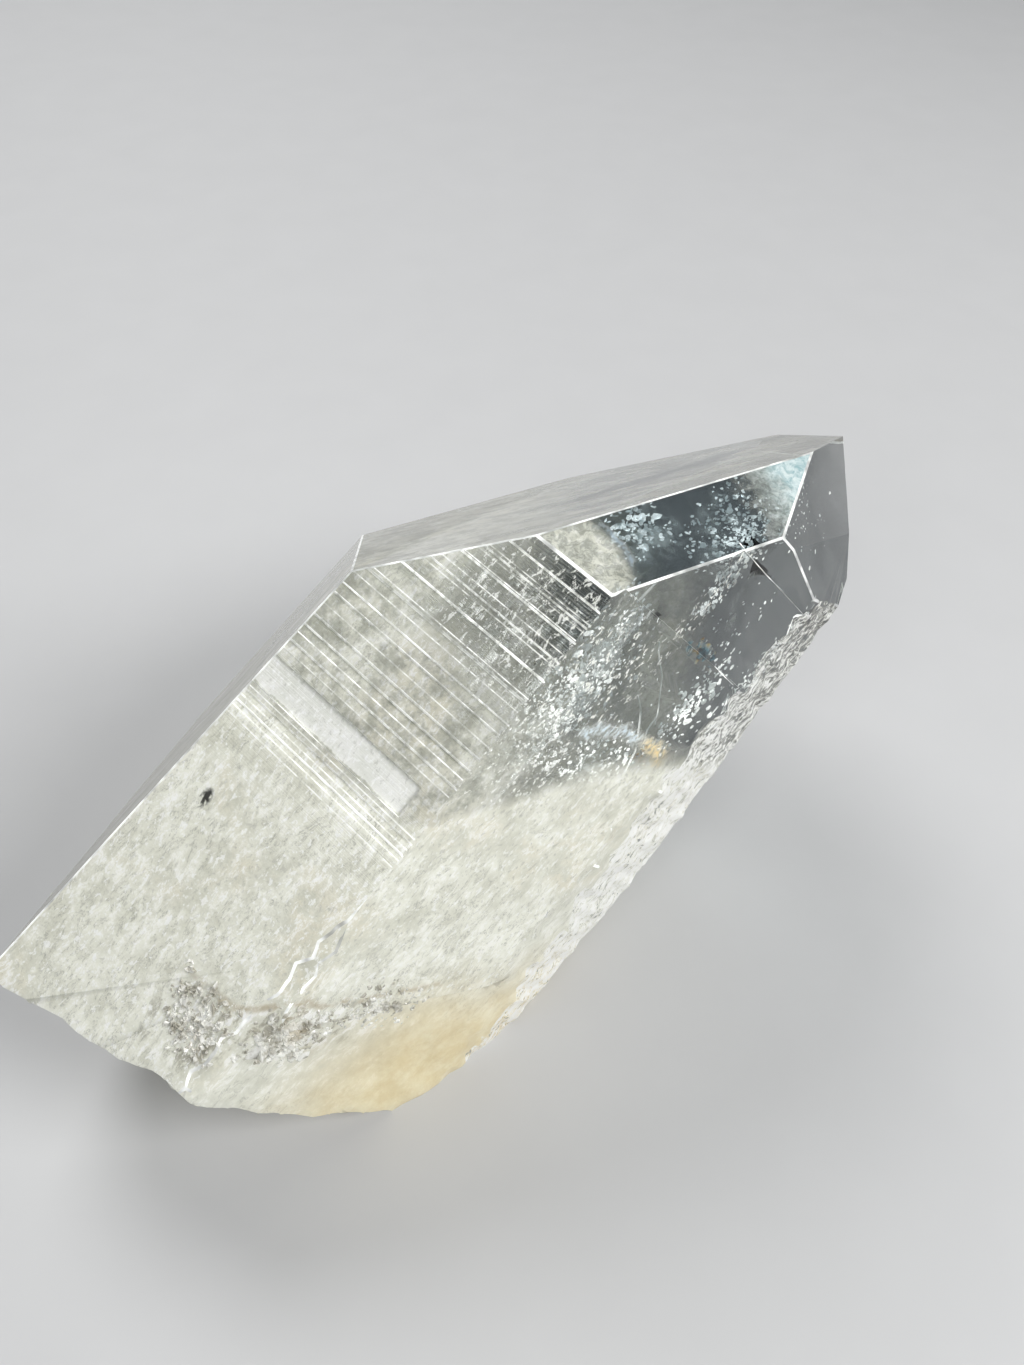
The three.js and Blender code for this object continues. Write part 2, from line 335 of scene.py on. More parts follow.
class Material:
    """A material built by code, and the places and patterns that it reads."""

    def __init__(self, name):
        self.data = bpy.data.materials.new(name)
        self.data.use_nodes = True
        self.tree = self.data.node_tree
        self.tree.nodes.clear()
        place = self.tree.nodes.new("ShaderNodeTexCoord")
        self.place = place.outputs["Object"]
        self.own_map = place.outputs["UV"]

    def node(self, kind, settings=None, inputs=None, output=0):
        made = self.tree.nodes.new(kind)
        for key, value in (settings or {}).items():
            if key == "stops":
                self.set_stops(made.color_ramp, value)
            else:
                setattr(made, key, value)
        for key, value in (inputs or {}).items():
            socket = made.inputs[key]
            if isinstance(value, Value):
                self.tree.links.new(value.socket, socket)
            elif isinstance(value, bpy.types.NodeSocket):
                self.tree.links.new(value, socket)
            else:
                socket.default_value = value
        return Value(self, made.outputs[output])

    def set_stops(self, ramp, stops):
        while len(ramp.elements) < len(stops):
            ramp.elements.new(1.0)
        for element, (position, colour) in zip(ramp.elements, stops):
            element.position = position
            element.color = (*colour, 1.0)

    def along(self, direction, start):
        """Millimetres along a direction from a place, as a Value."""
        settings = {"operation": "DOT_PRODUCT"}
        reach = self.node("ShaderNodeVectorMath", settings, {0: self.place, 1: direction}, "Value")
        return (reach - start.dot(direction)) * (1 / MM)

    def on(self, face):
        """Millimetres across a face and up it, as two Values."""
        across, up, _ = face_axes(face)
        return self.along(across, FOOT * MM), self.along(up, FOOT * MM)

    def noise(self, scale, detail=2.0, roughness=0.5, distortion=0.0, vector=None):
        inputs = {
            "Vector": vector or self.place,
            "Scale": scale,
            "Detail": detail,
            "Roughness": roughness,
            "Distortion": distortion,
        }
        return self.node("ShaderNodeTexNoise", None, inputs, "Fac")

    def grain_up(self, face, across_scale, up_scale, out_scale):
        """Coordinates in millimetres on a face, each stretched by its own scale."""
        directions = face_axes(face)
        scales = (across_scale, up_scale, out_scale)
        parts = [self.along(way, FOOT * MM) * scale for way, scale in zip(directions, scales)]
        return self.node("ShaderNodeCombineXYZ", None, {"X": parts[0], "Y": parts[1], "Z": parts[2]})

    def blend(self, factor, first, second):
        """One colour turning to another as factor goes from 0 to 1."""
        settings = {"data_type": "RGBA", "clamp_factor": True}
        return self.node("ShaderNodeMix", settings, {0: factor, 6: first, 7: second}, 2)

    def ramp(self, factor, stops):
        return self.node("ShaderNodeValToRGB", {"stops": stops}, {"Fac": factor})

    def bump(self, height, distance, strength=1.0):
        inputs = {"Height": height, "Distance": distance, "Strength": strength}
        return self.node("ShaderNodeBump", None, inputs)

    def principled(self, inputs):
        return self.node("ShaderNodeBsdfPrincipled", None, inputs)

    def mixed(self, factor, first, second):
        return self.node("ShaderNodeMixShader", None, {0: factor, 1: first, 2: second})

    def finish(self, shader):
        output = self.tree.nodes.new("ShaderNodeOutputMaterial")
        self.tree.links.new(shader.socket, output.inputs["Surface"])
        return self.data


def rgb(red, green, blue):
    return (red, green, blue, 1.0)


def painted_emission(m, factor, dark, bright, strength):
    """Painted glow: the emission sockets of a glint that lights nothing else, from dark to bright by a
    factor.
    """
    m.data.cycles.emission_sampling = "NONE"
    return {"Emission Color": m.blend(factor, dark, bright), "Emission Strength": strength}


def see_through(m, colour=(1.0, 1.0, 1.0, 1.0)):
    return m.node("ShaderNodeBsdfTransparent", None, {"Color": colour})


def clear_quartz(m, roughness, normal=None, tint=CLEAR_SHADE_TINT):
    """Clear quartz, which lets lamps shine on what is inside it, with a tint of painted shade."""
    inputs = {
        "Base Color": tint,
        "Roughness": roughness,
        "IOR": QUARTZ_IOR,
        "Transmission Weight": 1.0,
    }
    if normal:
        inputs["Normal"] = normal
    lamp_ray = m.node("ShaderNodeLightPath", None, None, "Is Shadow Ray")
    return m.mixed(lamp_ray, m.principled(inputs), see_through(m, LAMP_TINT))


def milky_quartz(m, colour, roughness, normal=None, painted_shine=None):
    """White quartz full of tiny bubbles, which light soaks into, with a painted glowing glint where that is
    given.
    """
    inputs = {
        "Base Color": colour,
        "Roughness": roughness,
        "IOR": QUARTZ_IOR,
        "Subsurface Weight": 0.25,
        "Subsurface Radius": (0.0040, 0.0041, 0.0036),
        "Subsurface Scale": 1.0,
    }
    if normal:
        inputs["Normal"] = normal
    if painted_shine:
        inputs.update(painted_emission(m, painted_shine, rgb(0, 0, 0), SILVER_WHITE, 0.5))
    return m.principled(inputs)


def milk_depths(m):
    """How dense the milk is and how strong the haze, both 0 to 1, and the clouds that shape them."""
    side, height = m.on("striated")
    clouds = m.noise(44.0, 3.0, 0.6, 0.6)
    drift = (clouds - 0.5) * 22
    climb = (side - MILK_SIDE).largest(0.0) * MILK_CLIMB
    dense = (climb + drift * 0.45 + MILK_LINE - height).step(-3.0, 6.0)
    left = (MILK_SIDE - side).smallest(HAZE_WIDTH) * HAZE_CLIMB
    haze = (left + drift + HAZE_LINE - height).step(-10.0, 14.0)
    return dense, haze, clouds


def milk_colour(m, clouds, fine, ripples):
    """Ivory with soft clouds, and the white creases and grey hairlines of healed cracks."""
    tone = clouds * 0.25 + fine * 0.45 + ripples * 0.30
    colour = m.blend(tone.step(0.36, 0.62), rgb(0.63, 0.63, 0.53), rgb(0.87, 0.875, 0.775))
    warm = (1 - clouds.step(0.36, 0.50)) * fine.step(0.40, 0.60)
    colour = m.blend(warm * 0.4, colour, rgb(0.72, 0.66, 0.50))
    creases = ripples.near(0.58, 0.05) * fine.step(0.46, 0.56)
    colour = m.blend(creases * 0.75, colour, rgb(0.97, 0.97, 0.92))
    hairlines = ripples.near(0.43, 0.018) * clouds.step(0.44, 0.52)
    return m.blend(hairlines * 0.6, colour, rgb(0.30, 0.30, 0.27))


def honey_stain(m, clouds):
    """How much of the honey stain there is: strong at the lower right, with a long soft rim."""
    across, up = m.on("right")
    drift = (clouds - 0.5) * 16
    return (across + drift).step(-8.0, 15.0) * (1 - (up - across * 0.5 + drift).step(20.0, 46.0))


def rough_zone(m, clouds, fine):
    """The rough patch low on the crystal and the brown step above it, as two masks."""
    side, height = m.on("striated")
    drift = (clouds - 0.5) * 7 + (fine - 0.5) * 3
    climb = (side - STEP_SIDE).largest(0.0) * STEP_CLIMB
    above_step = height - climb - STEP_START + drift
    zone = above_step.band(-10.0, -0.5, 2.0) * side.band(6.0, 27.0, 4.0)
    step_line = above_step.near(0.0, 1.2) * side.band(7.0, 32.0, 3.0) * fine.step(0.42, 0.55)
    return zone, step_line


def body_parts(m):
    """The amount of milk, its colour, its fine grain and its clouds, as every face shares them."""
    dense, haze, clouds = milk_depths(m)
    fine = m.noise(230.0, 4.0, 0.7)
    ripples = m.noise(1.0, 4.0, 0.7, 0.5, m.grain_up("right", 0.75, 0.26, 0.75))
    zone, step_line = rough_zone(m, clouds, fine)
    colour = milk_colour(m, clouds, fine, ripples)
    # Painted shade and highlight: in the rough patch, low parts of the chip grain are darkened and high
    # parts whitened, in place of relief.
    painted_chip_shading = fine * 0.5 + ripples * 0.5
    colour = m.blend(zone * (1 - painted_chip_shading.step(0.40, 0.48)) * 0.8, colour, rgb(0.36, 0.34, 0.27))
    colour = m.blend(zone * painted_chip_shading.step(0.52, 0.57) * 0.9, colour, rgb(0.96, 0.96, 0.92))
    colour = m.blend(step_line * 0.65, colour, rgb(0.42, 0.35, 0.22))
    honey = m.blend(fine.step(0.3, 0.7), rgb(0.78, 0.63, 0.33), rgb(0.88, 0.78, 0.50))
    colour = m.blend(honey_stain(m, clouds) * 0.8, colour, honey)
    amount = (dense * 1.3).largest(haze * (fine.step(0.36, 0.62) * 0.34 + 0.48))
    return amount, colour, fine, clouds


def sparkle(m, face):
    """A fine grain drawn out along the crystal, for the painted white glints of its flecks and for its dark
    gaps.
    """
    return m.noise(1.0, 4.0, 0.7, 0.4, m.grain_up(face, 1.5, 0.75, 1.5))


def painted_shade_tint(m, clouds):
    """Painted shade: the grey tint of the colourless clear quartz, darker where its clouds are thin."""
    return m.blend(clouds.step(0.40, 0.60), DARK_SHADE_TINT, CLEAR_SHADE_TINT)


def quartz():
    """The clear faces, milky at the base, with flecks up the middle of the right one painted white as
    glints.
    """
    m = Material("quartz")
    amount, colour, fine, clouds = body_parts(m)
    across, up = m.on("right")
    grain = sparkle(m, "right")
    flecks = grain.step(0.56, 0.62)
    drift = (clouds - 0.5) * 8
    busy = (across + drift).band(-16.0, 0.5, 2.5) * (up + drift).band(64.0, 97.0, 4.0)
    along_edge = (across + drift * 0.4).band(-1.8, 1.4, 1.2) * (up + drift).band(95.0, 118.0, 3.0)
    amount = amount.largest(flecks * busy.largest(along_edge * 0.8) * 0.95)
    lip_height = LIP_HEIGHT - (LIP_SIDE - across).largest(0.0) * LIP_FALL
    lip = (up - lip_height - (fine - 0.5) * 5.0).near(0.0, 2.1) * across.band(-3.0, 14.0, 1.6)
    lip = lip * (grain.step(0.40, 0.58) * 0.6 + 0.3)
    amount = amount.largest(lip)
    # Painted glints: the flecks are whitened.
    colour = m.blend(flecks * 0.6, colour, SILVER_WHITE)
    colour = m.blend((1 - grain.step(0.36, 0.42)) * 0.45, colour, rgb(0.36, 0.36, 0.32))
    gold = m.blend(across.step(6.0, 10.5), rgb(0.72, 0.84, 0.92), rgb(0.97, 0.74, 0.34))
    colour = m.blend(lip, colour, gold)
    glass = clear_quartz(m, 0.02, None, painted_shade_tint(m, clouds))
    milk = milky_quartz(m, colour, 0.3, m.bump(fine, 0.0004, 0.5))
    return m.finish(m.mixed(amount, glass, milk))


def clear_lens(m, streak):
    """The long clear lens in the top face."""
    across, up = m.on("top")
    along = (up - LENS_UP) * 0.05
    off = (across - LENS_ACROSS + (up - LENS_UP) * LENS_SLANT) * 0.36
    return 1 - (along.from_middle(off) + (streak - 0.5) * 0.8).step(0.7, 1.1)


def pale_quartz():
    """The top and left faces: a thin milky skin with long streaks."""
    m = Material("pale quartz")
    amount, colour, fine, clouds = body_parts(m)
    side, height = m.on("striated")
    streak = m.noise(1.0, 2.0, 0.5, 0.3, m.grain_up("left", 0.22, 0.025, 0.22))
    tone = streak.step(0.30, 0.66) * 0.34 + fine * 0.20
    clearer = (height + side * 0.4).step(88.0, 122.0) * 0.25 + clear_lens(m, streak) * 0.4
    amount = amount.smallest(0.8).largest(tone + 0.22 - clearer)
    colour = m.blend(0.2, colour, rgb(0.50, 0.51, 0.48))
    low_left = (1 - side.step(-14.0, -11.0)) * 0.5
    colour = m.blend(low_left, colour, rgb(0.34, 0.33, 0.28))
    colour = m.blend(streak.near(0.5, 0.02) * 0.4, colour, rgb(0.88, 0.89, 0.86))
    glass = clear_quartz(m, 0.03, None, painted_shade_tint(m, clouds))
    return m.finish(m.mixed(amount, glass, milky_quartz(m, colour, 0.22)))


def nearest_line(height, lines):
    """How far a height is from the nearest of some lines."""
    nearest = (height - lines[0]).size()
    for line in lines[1:]:
        nearest = nearest.smallest((height - line).size())
    return nearest


def painted_line_highlights(m, height):
    """Painted highlights: thin glowing lines across the striated face, each fading and breaking in its own
    places.
    """
    broken_up = m.noise(1.0, 3.0, 0.6, 0.0, m.grain_up("striated", 0.5, 0.25, 0.0)).step(0.38, 0.6)
    strong = m.noise(1.0, 1.0, 0.5, 0.0, m.grain_up("striated", 0.0, 0.55, 0.0)).step(0.42, 0.58)
    thin = 1 - nearest_line(height, GROWTH_LINES).step(LINE_HALF, LINE_HALF * 2.6)
    feet = [line - LEDGE_FOOT for line in LEDGE_HEIGHTS]
    wide = 1 - nearest_line(height, feet).step(LEDGE_HALF, LEDGE_HALF * 1.8)
    return thin.largest(wide) * (broken_up * 0.45 + 0.12 + strong * 0.43)


def painted_pit_shade(side, height, fine, grain):
    """Painted shade of a small pit low on the striated face, which has no hollow in the mesh."""
    aside = (side - PIT_SIDE) * 0.9
    above = (height - PIT_HEIGHT) * 0.42
    pit = 1 - (aside.from_middle(above) + (fine - 0.5) * 2.2).step(0.45, 0.95)
    return pit * grain.step(0.42, 0.52)


def striated_quartz():
    """The face with growth lines across it, painted white and glowing as highlights, and the frosted band.
    """
    m = Material("striated quartz")
    amount, colour, fine, clouds = body_parts(m)
    side, height = m.on("striated")
    lines = m.noise(1.0, 2.0, 0.75, 0.0, m.grain_up("striated", 0.02, 3.2, 0.0))
    ruled = height.step(44.0, 56.0)
    bright = painted_line_highlights(m, height)
    grain = sparkle(m, "striated")
    flecks = grain.step(0.55, 0.62)
    drift = (clouds - 0.5) * 18
    clear_part = (side + drift).step(-3.0, 6.0) * (height + drift).step(71.0, 85.0)
    amount = amount.smallest(1 - clear_part * 0.75).largest(flecks * clear_part * 0.8)
    # The ruled striations and the growth lines are painted in as white highlights.
    painted_line_whites = (lines.step(0.60, 0.66) * ruled * (fine * 0.5)).largest(bright)
    band = (height + (fine - 0.5) * 1.2).band(BAND_BOTTOM, BAND_TOP, 0.25)
    band = band * side.band(BAND_LEFT, BAND_RIGHT, 0.8)
    amount = amount.largest(painted_line_whites).largest(band * 0.97)
    crinkles = flecks * 0.5 + fine.step(0.38, 0.62) * 0.5
    frost = m.blend(crinkles, rgb(0.80, 0.81, 0.75), rgb(0.99, 0.99, 0.96))
    colour = m.blend(band, colour, frost)
    # Painted highlights and glints: the growth lines and the flecks are whitened.
    colour = m.blend(bright.largest(flecks * 0.7), colour, rgb(0.98, 0.99, 0.96))
    colour = m.blend((1 - grain.step(0.36, 0.42)) * 0.35, colour, rgb(0.38, 0.38, 0.34))
    # Painted shade: the small pit is darkened.
    colour = m.blend(painted_pit_shade(side, height, fine, grain), colour, rgb(0.05, 0.05, 0.045))
    # Painted shade: the glass turns near black in streaks high at the right of the face.
    deep = side.step(4.0, 15.0) * height.step(82.0, 93.0) * lines.step(0.36, 0.56)
    tint = m.blend(deep, painted_shade_tint(m, clouds), DEEP_SHADE_TINT)
    glass = clear_quartz(m, 0.02, m.bump(lines * ruled, 0.0003, 1.0), tint)
    milk = milky_quartz(m, colour, 0.3, m.bump(lines * ruled * 0.35 + fine, 0.0003, 0.6), bright)
    return m.finish(m.mixed(amount, glass, milk))


def shining_growth_step():
    """The tiny steep risers between one growth layer and the next, with a painted white glow as their
    glint.
    """
    m = Material("growth step with painted shine")
    painted_shine = m.noise(200.0, 3.0, 0.7).step(0.34, 0.60)
    white = m.principled({
        "Base Color": rgb(0.95, 0.96, 0.93),
        "Roughness": 0.35,
        **painted_emission(m, painted_shine, rgb(0.10, 0.10, 0.095), rgb(0.95, 0.96, 0.92), 0.55),
    })
    return m.finish(m.mixed(painted_shine * 0.6 + 0.3, clear_quartz(m, 0.12), white))


def window_quartz():
    """The tip face with a rounded milky patch at its foot, a painted cyan-white reflection in the corner at
    its top, and glass tinted with painted shade.
    """
    m = Material("window quartz")
    amount, colour, fine, _ = body_parts(m)
    across, up = m.on("window")
    reach = (across - PATCH_ACROSS).from_middle(up - PATCH_UP) + (fine - 0.5) * 1.6
    flecks = m.noise(720.0, 3.0, 0.75, 0.8)
    patch = (1 - reach.step(PATCH_THINS, PATCH_ENDS)) * (flecks.step(0.40, 0.60) * 0.34 + fine * 0.4 + 0.22)
    fringe = reach.near(PATCH_ENDS - 0.3, 0.8) * fine.step(0.40, 0.56)
    # Painted reflection: a frosted-looking cyan-white haze in the top corner.
    rise = across * 0.5 + up * 0.866 + (fine - 0.5) * 9.0 + (flecks - 0.5) * 7.0
    corner = rise.step(REFLECTION_BEGINS, REFLECTION_FULL)
    amount = amount.smallest(0.3).largest(patch).largest(fringe * 0.4).largest(corner * 0.8)
    colour = m.blend(fringe * 0.7, colour, rgb(0.42, 0.58, 0.74))
    frost = m.blend(flecks.step(0.3, 0.65), rgb(0.36, 0.55, 0.58), rgb(0.84, 0.95, 0.94))
    colour = m.blend(corner, colour, frost)
    # The glass has a dark blue grey tint of painted shade.
    glass = clear_quartz(m, 0.015, None, WINDOW_SHADE_TINT)
    return m.finish(m.mixed(amount, glass, milky_quartz(m, colour, 0.22)))


def worn_edge():
    """The long right edge, knocked and frosted, clearer in places near the tip."""
    m = Material("worn edge")
    amount, colour, fine, _ = body_parts(m)
    _, height = m.on("striated")
    flecks = m.noise(1.0, 4.0, 0.78, 0.8, m.grain_up("edge", 1.1, 0.55, 1.1))
    clearer = height.step(80.0, 116.0)
    frost = (flecks - clearer * 0.05).step(0.40, 0.54)
    amount = amount.largest(frost * 0.72 + 0.25 - clearer * 0.15)
    colour = m.blend(frost * 0.9, colour, rgb(0.97, 0.975, 0.94))
    colour = m.blend(1 - flecks.step(0.36, 0.42), colour, rgb(0.28, 0.29, 0.28))
    # The edge's glass has the dark tint of painted shade.
    glass = clear_quartz(m, 0.08, None, DARK_SHADE_TINT)
    return m.finish(m.mixed(amount, glass, milky_quartz(m, colour, 0.3)))


def broken_quartz():
    """The broken base and back: hackly white quartz with grey hollows and warm dirt."""
    m = Material("broken quartz")
    _, colour, fine, clouds = body_parts(m)
    dirt = (clouds * 0.5 + fine * 0.5).step(0.52, 0.62)
    colour = m.blend(dirt * 0.5, colour, rgb(0.62, 0.54, 0.36))
    normal = m.bump(m.noise(700.0, 4.0, 0.7), 0.0005, 0.8)
    return m.finish(milky_quartz(m, colour, 0.42, normal))


def stained_fracture():
    """The smooth curved fracture at the lower right."""
    m = Material("stained fracture")
    _, colour, _, _ = body_parts(m)
    normal = m.bump(m.noise(380.0, 3.0, 0.6), 0.0004, 0.6)
    return m.finish(milky_quartz(m, colour, 0.32, normal))


def painted_highlight_rim():
    """The narrow rounded edge between two faces, with a painted white glow for the light it catches."""
    m = Material("painted highlight rim")
    painted_shine = m.noise(140.0, 3.0, 0.7).step(0.34, 0.62)
    white = m.principled({
        "Base Color": rgb(0.93, 0.94, 0.92),
        "Roughness": 0.3,
        **painted_emission(m, painted_shine, rgb(0.06, 0.06, 0.06), rgb(0.95, 0.97, 0.94), 0.5),
    })
    return m.finish(m.mixed(painted_shine * 0.5 + 0.4, clear_quartz(m, 0.06), white))


def crumbled_quartz():
    """The small shards that stand in the rough patch."""
    m = Material("crumbled quartz")
    tone = m.noise(420.0, 3.0, 0.7)
    colour = m.blend(tone.step(0.38, 0.60), rgb(0.46, 0.44, 0.36), rgb(0.93, 0.93, 0.87))
    colour = m.blend(m.noise(90.0, 2.0).step(0.55, 0.70) * 0.5, colour, rgb(0.60, 0.50, 0.32))
    return m.finish(milky_quartz(m, colour, 0.22))


def fracture_with_painted_shine():
    """Thin gaps inside the crystal, which mirror the light like silver, with a painted glow for their
    glints.
    """
    m = Material("fracture with painted shine")
    tone = m.noise(300.0, 2.0)
    return m.finish(m.principled({
        "Base Color": m.blend(tone, rgb(0.80, 0.86, 0.86), FLECK_WHITE),
        "Metallic": tone.step(0.4, 0.6) * 0.7 + 0.1,
        "Roughness": 0.22,
        **painted_emission(m, tone.step(0.44, 0.60), rgb(0.05, 0.055, 0.055), FLECK_WHITE, 1.3),
    }))


def dark_speck():
    """A small gap inside the crystal that no light comes back from."""
    m = Material("dark speck")
    tone = m.noise(500.0, 2.0)
    colour = m.blend(tone, rgb(0.03, 0.035, 0.04), rgb(0.12, 0.12, 0.11))
    return m.finish(m.principled({"Base Color": colour, "Roughness": 0.4}))


def inner_veil():
    """A healed crack seen through the crystal: a cloudy sheet that fades at its rim."""
    m = Material("inner veil")
    middle = {0: m.own_map, 1: (0.5, 0.5, 0.0)}
    from_middle = m.node("ShaderNodeVectorMath", {"operation": "DISTANCE"}, middle, "Value")
    wisps = m.noise(210.0, 3.0, 0.7)
    there = (1 - from_middle.step(0.12, 0.5)) * wisps.step(0.45, 0.7) * 0.75
    colour = m.blend(wisps, rgb(0.72, 0.76, 0.74), SILVER_WHITE)
    return m.finish(m.mixed(there, see_through(m), m.principled({"Base Color": colour, "Roughness": 0.5})))


def rainbow_fracture():
    """A thin gap that splits light into colours, from blue to gold."""
    m = Material("rainbow fracture")
    across, up = m.on("right")
    bands = across * 0.11 + up * 0.30 + m.noise(500.0, 3.0) * 3.0
    turn = bands.math("FRACT")
    colour = m.ramp(turn, [
        (0.0, (0.10, 0.16, 0.24)), (0.3, (0.45, 0.75, 0.86)), (0.5, (0.95, 0.97, 0.95)),
        (0.72, (0.95, 0.80, 0.42)), (0.86, (0.86, 0.48, 0.20)), (1.0, (0.12, 0.17, 0.26))])
    shine = m.principled({"Base Color": colour, "Metallic": 0.6, "Roughness": 0.2})
    return m.finish(m.mixed(m.noise(260.0, 3.0).step(0.32, 0.55), see_through(m), shine))


def lies_on(face, corners, below, above):
    """True if every corner is on a named face, to within a depth below and a height above it."""
    _, _, out = face_axes(face)
    heights = [(corner / MM - FOOT).dot(out) - FACES[face][2] for corner in corners]
    return min(heights) > -below and max(heights) < above


def surface_kind(corners, normal):
    """The name of the finish that a face of the crystal has, from where it is."""
    steep = abs(normal.dot(AXIS)) > 0.4
    if lies_on("striated", corners, 0.95, 0.15):
        return "step" if steep else "striated"
    if lies_on("right", corners, 0.75, 0.15):
        return "step" if steep else "smooth"
    if lies_on("window", corners, 0.2, 0.2):
        return "window"
    if any(lies_on(face, corners, 0.2, 0.2) for face in PALE_FACES):
        return "pale"
    if any(lies_on(face, corners, 0.2, 0.2) for face in CLEAR_FACES):
        return "smooth"
    if lies_on("scar", corners, 2.6, 1.6) and normal.dot(face_axes("scar")[2]) > 0.75:
        return "stained"
    if lies_on("edge", corners, 2.2, 1.2) and normal.dot(face_axes("edge")[2]) > 0.6:
        return "worn"
    return "broken"


def edit(piece):
    """Opens a piece in edit mode, with nothing else selected."""
    bpy.ops.object.select_all(action="DESELECT")
    bpy.context.view_layer.objects.active = piece
    piece.select_set(True)
    bpy.ops.object.mode_set(mode="EDIT")
    bpy.ops.mesh.select_mode(type="VERT")


def close_edit(piece):
    """Ends the editing and leaves the piece deselected."""
    bpy.ops.object.mode_set(mode="OBJECT")
    piece.select_set(False)


def merge_doubles(nearness):
    """Makes one corner of all that lie this near each other, on the piece that is being edited."""
    bpy.ops.mesh.select_all(action="SELECT")
    bpy.ops.mesh.remove_doubles(threshold=nearness)


def apply_modifiers(piece):
    """Makes all of a piece's modifiers part of its mesh."""
    bpy.context.view_layer.objects.active = piece
    for modifier in list(piece.modifiers):
        bpy.ops.object.modifier_apply(modifier=modifier.name)


def select_faces(piece, kind):
    """Selects the faces of a piece that have one kind of finish, and goes on in edit mode."""
    bpy.ops.mesh.select_all(action="DESELECT")
    bpy.ops.object.mode_set(mode="OBJECT")
    for face in piece.data.polygons:
        face.select = face.material_index == kind
    bpy.ops.object.mode_set(mode="EDIT")
    bpy.ops.mesh.select_mode(type="FACE")


def roughen(piece, kind, cuts, depth, grain):
    """Gives the faces of one finish a fine broken relief, and leaves their rims where they are."""
    edit(piece)
    select_faces(piece, kind)
    bpy.ops.mesh.subdivide(number_cuts=cuts)
    bpy.ops.mesh.select_mode(type="VERT")
    bpy.ops.mesh.select_less()
    bpy.ops.object.vertex_group_assign_new()
    close_edit(piece)
    clouds = bpy.data.textures.new("broken relief", "CLOUDS")
    clouds.noise_scale = grain
    clouds.noise_depth = 3
    relief = piece.modifiers.new("broken relief", "DISPLACE")
    relief.texture = clouds
    relief.texture_coords = "LOCAL"
    relief.vertex_group = piece.vertex_groups[-1].name
    relief.strength = depth
    relief.mid_level = 0.5
    apply_modifiers(piece)


def give_finishes(piece, kinds):
    """Gives each face of the crystal its finish, apart from the rims, which have theirs."""
    for face in piece.data.polygons:
        if face.material_index != kinds.index("rim"):
            corners = [piece.data.vertices[i].co for i in face.vertices]
            face.material_index = kinds.index(surface_kind(corners, face.normal))


def mark_rims(piece, kinds):
    """Marks the long edges where the left, top, window and tip faces meet their neighbours."""
    smooth = [kinds.index(kind) for kind in ("smooth", "pale", "striated", "window")]
    plain = {kinds.index("smooth"), kinds.index("striated")}
    beside = {}
    for face in piece.data.polygons:
        for key in face.edge_keys:
            beside.setdefault(key, []).append(face)
    marks = piece.data.attributes.new("bevel_weight_edge", "FLOAT", "EDGE")
    for edge in piece.data.edges:
        first, second = beside[edge.key]
        finishes = {first.material_index, second.material_index}
        turn = math.degrees(first.normal.angle(second.normal))
        sharp = RIM_LEAST_TURN < turn < RIM_MOST_TURN
        if sharp and finishes.issubset(smooth) and finishes != plain:
            marks.data[edge.index].value = 1.0


def make_crystal():
    """The crystal itself, from the solid, with its finishes, its rims of painted highlight and its relief.
    """
    source = frame["nodes"]["quartz_point"]
    crystal = bpy.data.objects.new("crystal", source.data.copy())
    bpy.context.scene.collection.objects.link(crystal)
    crystal.data.materials.clear()
    edit(crystal)
    merge_doubles(DOUBLES)
    bpy.ops.mesh.dissolve_limited(angle_limit=math.radians(0.2))
    close_edit(crystal)

    finishes = {
        "smooth": quartz(),
        "pale": pale_quartz(),
        "striated": striated_quartz(),
        "step": shining_growth_step(),
        "window": window_quartz(),
        "worn": worn_edge(),
        "broken": broken_quartz(),
        "stained": stained_fracture(),
        "rim": painted_highlight_rim(),
    }
    kinds = list(finishes)
    for finish in finishes.values():
        crystal.data.materials.append(finish)
    give_finishes(crystal, kinds)
    mark_rims(crystal, kinds)
    # The bevelled rims take the finish of painted highlight.
    rims = crystal.modifiers.new("bright rims", "BEVEL")
    rims.width = RIM_WIDTH
    rims.use_clamp_overlap = False
    rims.segments = 2
    rims.limit_method = "WEIGHT"
    rims.material = kinds.index("rim")
    apply_modifiers(crystal)
    edit(crystal)
    merge_doubles(BEVEL_DOUBLES)
    close_edit(crystal)
    give_finishes(crystal, kinds)
    roughen(crystal, kinds.index("broken"), *BROKEN_RELIEF)
    roughen(crystal, kinds.index("worn"), *WORN_RELIEF)
    crystal.select_set(True)
    bpy.ops.object.shade_smooth_by_angle(angle=math.radians(14))
    crystal.select_set(False)
    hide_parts("quartz_point")
    declare(crystal)
    return crystal


def declare(piece):
    """Attaches a piece to the root body, which it moves with."""
    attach(piece, "root")


def is_inside(skin, place, room):
    """True if a place lies inside the crystal's skin with some room to it."""
    nearest, normal, _, _ = skin.find_nearest(place)
    return (place - nearest).dot(normal) < -room


def flake_shape(seed):
    """One thin angular flake, a millimetre long, to be copied."""
    bpy.ops.mesh.primitive_circle_add(vertices=7, radius=0.5 * MM, fill_type="NGON")
    piece = bpy.context.object
    edit(piece)
    bpy.ops.mesh.select_all(action="SELECT")
    bpy.ops.transform.vertex_random(offset=0.16 * MM, seed=seed)
    bpy.ops.mesh.extrude_region_move(TRANSFORM_OT_translate={"value": (0, 0, 0.09 * MM)})
    bpy.ops.transform.resize(value=(0.6, 0.6, 1.0))
    bpy.ops.mesh.select_all(action="SELECT")
    bpy.ops.mesh.normals_make_consistent(inside=False)
    close_edit(piece)
    shape = piece.data
    bpy.data.objects.remove(piece)
    return shape


